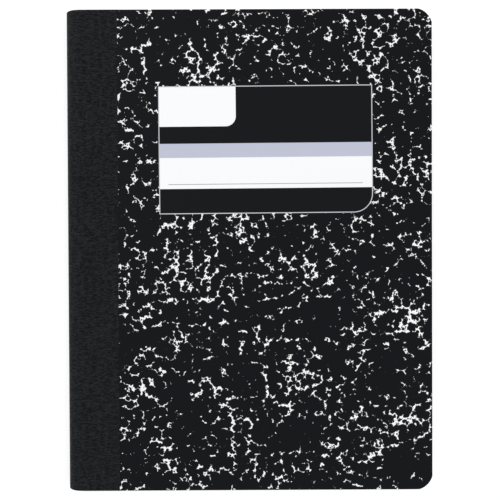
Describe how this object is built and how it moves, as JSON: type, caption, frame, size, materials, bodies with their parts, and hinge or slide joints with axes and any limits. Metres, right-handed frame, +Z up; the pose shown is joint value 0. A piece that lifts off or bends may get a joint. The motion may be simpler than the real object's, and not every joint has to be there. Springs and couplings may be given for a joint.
{
  "type": "composition notebook",
  "caption": "Sewn-bound ruled notebook with rounded fore-edge corners, marbled board covers that open on taped hinges and a cloth spine tape.",
  "frame": {"origin": "under the middle of the closed book, on the surface it lies on", "axes": "+X from the spine to the fore-edge, +Y from tail to head, +Z up through the front cover"},
  "size_m": [0.188, 0.2476, 0.0104],
  "materials": {
    "marbled_board": "smooth coated, black and white marbled print, printed label on the front",
    "tape": "embossed black book cloth",
    "paper_block": "matte ruled white paper",
    "lining_paper": "matte white paper",
    "thread": "twisted cotton"
  },
  "bodies": {
    "block": {"text_block": "paper_block", "sewing_thread": "thread", "spine_tape": "tape"},
    "front_cover": {"front_board": "marbled_board", "front_endpaper": "lining_paper", "front_tape": "tape"},
    "back_cover": {"back_board": "marbled_board", "back_endpaper": "lining_paper", "back_tape": "tape"}
  },
  "joints": [
    {"name": "front_cover_hinge", "type": "hinge", "parent": "block", "child": "front_cover", "pos_m": [-0.084, 0, 0.01059], "axis": [0, -1, 0], "range_deg": [0, 179]},
    {"name": "back_cover_hinge", "type": "hinge", "parent": "block", "child": "back_cover", "pos_m": [-0.084, 0, -0.00015], "axis": [0, 1, 0], "range_deg": [0, 179]}
  ]
}
